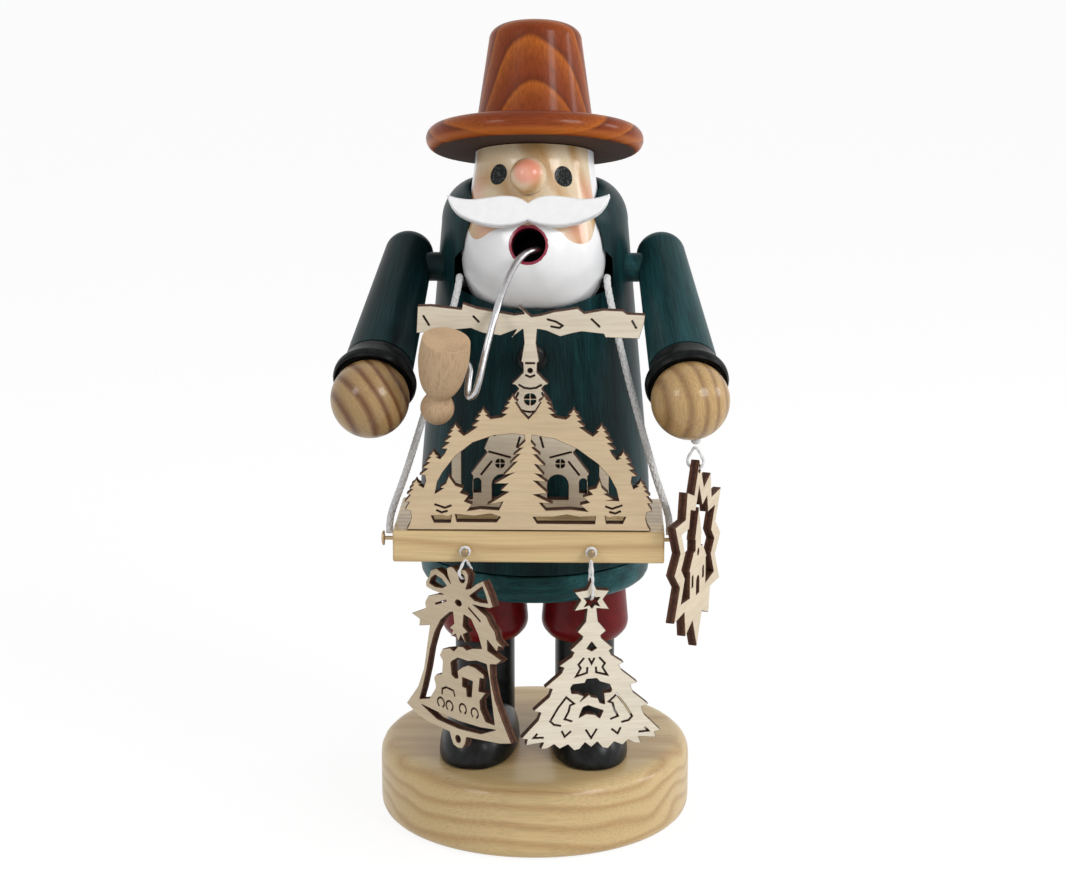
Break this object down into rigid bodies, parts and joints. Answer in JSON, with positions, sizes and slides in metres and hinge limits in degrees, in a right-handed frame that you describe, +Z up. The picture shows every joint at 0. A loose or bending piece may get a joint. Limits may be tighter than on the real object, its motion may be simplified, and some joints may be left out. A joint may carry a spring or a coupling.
{
  "type": "incense smoker figure",
  "caption": "Turned wooden incense smoker of a bearded pedlar in hat and long coat, with a tray of cut-out scenes, a wire-stemmed pipe and hanging plywood ornaments.",
  "frame": {"origin": "centre of the base disc's underside, on the surface that the figure stands on", "axes": "+X to the figure's left, which is the right of the picture; +Y from the figure's front to its back; +Z up"},
  "size_m": [0.1014, 0.124, 0.221],
  "materials": {
    "varnished_pine": "gloss",
    "varnished_skin": "gloss",
    "birch_plywood": "matte",
    "raw_beech": "matte",
    "green_stain": "satin",
    "black_lacquer": "gloss",
    "red_lacquer": "gloss",
    "brown_stain": "gloss",
    "white_lacquer": "gloss",
    "white_cord": "matte",
    "aluminium_wire": "satin",
    "brass_dish": "satin",
    "bright_nail": "satin"
  },
  "bodies": {
    "stand": {"base_disc": "varnished_pine", "right_shoe": "black_lacquer", "left_shoe": "black_lacquer", "right_boot_shaft": "black_lacquer", "left_boot_shaft": "black_lacquer", "right_trouser_bell": "red_lacquer", "left_trouser_bell": "red_lacquer", "right_leg_dowel": "raw_beech", "left_leg_dowel": "raw_beech", "hem_disc": "green_stain", "incense_dish": "brass_dish", "incense_dish_nail": "bright_nail"},
    "figure": {"coat_body": "green_stain", "coat_button": "black_lacquer", "head": "varnished_skin", "nose": "varnished_skin", "moustache": "white_lacquer", "hat_brim": "brown_stain", "hat_crown": "brown_stain", "hat_dowel": "raw_beech", "right_sleeve": "green_stain", "left_sleeve": "green_stain", "right_cuff": "black_lacquer", "left_cuff": "black_lacquer", "right_hand": "varnished_pine", "left_hand": "varnished_pine", "right_shoulder_dowel": "green_stain", "left_shoulder_dowel": "green_stain", "tray_board": "varnished_pine", "right_tray_dowel": "raw_beech", "left_tray_dowel": "raw_beech", "front_arch": "birch_plywood", "back_plate": "birch_plywood", "neck_cord": "white_cord", "right_cord_nail": "bright_nail", "left_cord_nail": "bright_nail", "pipe_wire": "aluminium_wire", "pipe_bowl": "raw_beech", "right_string_nail": "bright_nail", "left_string_nail": "bright_nail"},
    "bell_knot": {"bell_string_knot": "white_cord"},
    "bell": {"bell_string_loop": "white_cord", "bell_ornament": "birch_plywood"},
    "tree_knot": {"tree_string_knot": "white_cord"},
    "tree": {"tree_string_loop": "white_cord", "tree_ornament": "birch_plywood"},
    "star_knot": {"star_string_knot": "white_cord"},
    "star": {"star_string_loop": "white_cord", "star_ornament": "birch_plywood"}
  },
  "joints": [
    {"name": "figure_lift", "type": "slide", "parent": "stand", "child": "figure", "axis": [0, 0, 1], "range_m": [0, 0.06]},
    {"name": "bell_swing", "type": "hinge", "parent": "figure", "child": "bell_knot", "pos_m": [-0.0158, -0.0667, 0.0933], "axis": [0, 1, 0], "range_deg": [0, 12]},
    {"name": "bell_twist", "type": "hinge", "parent": "bell_knot", "child": "bell", "pos_m": [-0.0158, -0.0667, 0.0933], "axis": [0, 0, 1], "range_deg": [-60, 2]},
    {"name": "tree_swing", "type": "hinge", "parent": "figure", "child": "tree_knot", "pos_m": [0.0158, -0.0667, 0.0933], "axis": [0, 1, 0], "range_deg": [-20, 0]},
    {"name": "tree_twist", "type": "hinge", "parent": "tree_knot", "child": "tree", "pos_m": [0.0158, -0.0667, 0.0933], "axis": [0, 0, 1], "range_deg": [-90, 90]},
    {"name": "star_swing", "type": "hinge", "parent": "figure", "child": "star_knot", "pos_m": [0.04213, -0.05015, 0.11851], "axis": [0, 1, 0], "range_deg": [-35, 1.5]},
    {"name": "star_twist", "type": "hinge", "parent": "star_knot", "child": "star", "pos_m": [0.04213, -0.05015, 0.11851], "axis": [0, 0, 1], "range_deg": [-2, 28]}
  ]
}
